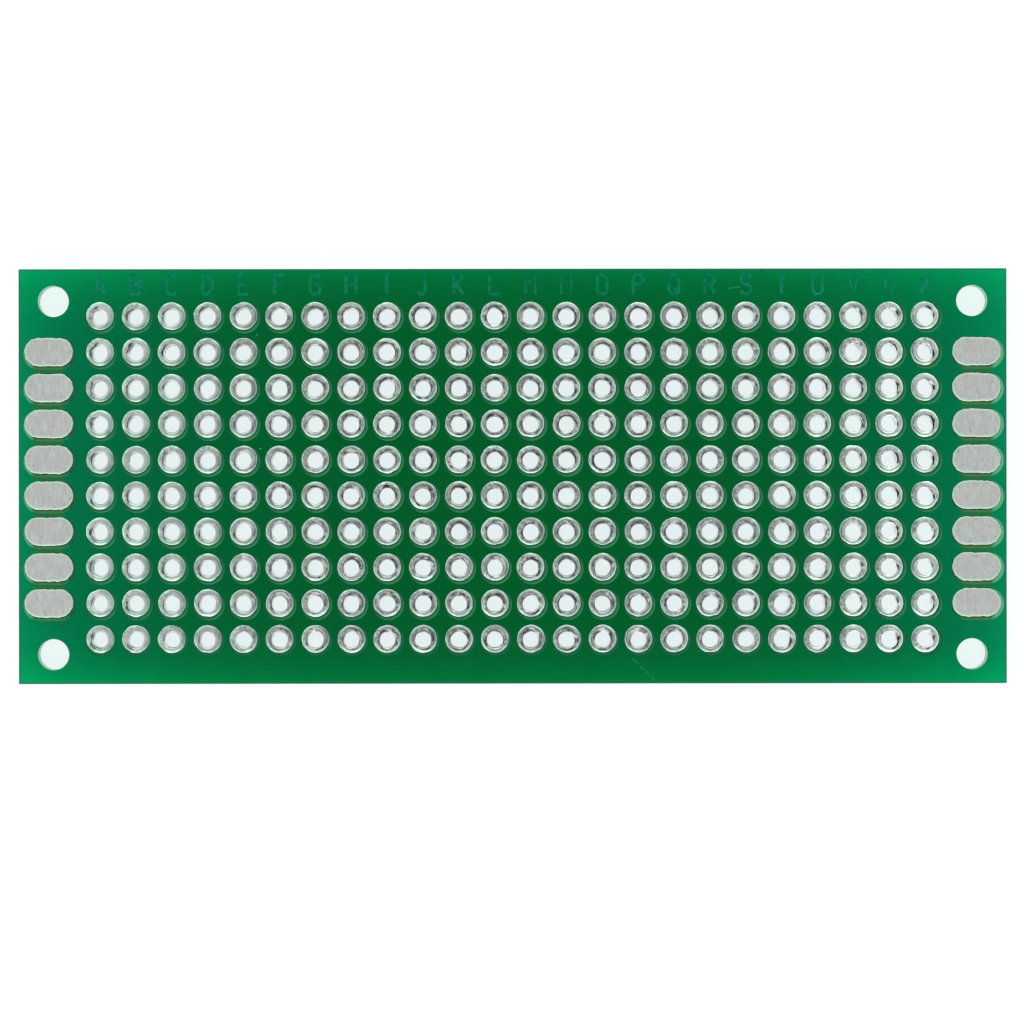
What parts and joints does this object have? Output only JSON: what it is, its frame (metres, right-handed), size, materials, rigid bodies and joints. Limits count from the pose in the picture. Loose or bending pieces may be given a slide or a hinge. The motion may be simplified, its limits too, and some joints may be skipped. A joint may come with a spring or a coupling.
{
  "type": "prototype board",
  "caption": "Flat green double-sided prototype board: a grid of plated-through holes, obround solder pads along both ends and a screw hole in each corner.",
  "frame": {"origin": "centre of the board's outline, on the plane of the bottom pads' lowest faces", "axes": "+X along the columns from A to X, +Y towards the first row and the column index, +Z out of the indexed face"},
  "size_m": [0.07, 0.0294, 0.0017],
  "materials": {
    "laminate": "glass-epoxy sheet, pale yellow-green, faint weave",
    "solder_mask": "glossy green solder mask",
    "solder": "levelled tin solder, dull silver"
  },
  "bodies": {
    "root": {"sheet": "laminate", "solder_mask_top": "solder_mask", "solder_mask_bottom": "solder_mask", "edge_pads_top_left": "solder", "edge_pads_top_right": "solder", "edge_pads_bottom_left": "solder", "edge_pads_bottom_right": "solder", "plated_holes_a": "solder", "plated_holes_b": "solder", "plated_holes_c": "solder", "plated_holes_d": "solder", "plated_holes_e": "solder", "plated_holes_f": "solder", "plated_holes_g": "solder", "plated_holes_h": "solder", "plated_holes_i": "solder", "plated_holes_j": "solder", "plated_holes_k": "solder", "plated_holes_l": "solder", "plated_holes_m": "solder", "plated_holes_n": "solder", "plated_holes_o": "solder", "plated_holes_p": "solder", "plated_holes_q": "solder", "plated_holes_r": "solder", "plated_holes_s": "solder", "plated_holes_t": "solder", "plated_holes_u": "solder", "plated_holes_v": "solder", "plated_holes_w": "solder", "plated_holes_x": "solder"}
  },
  "joints": []
}
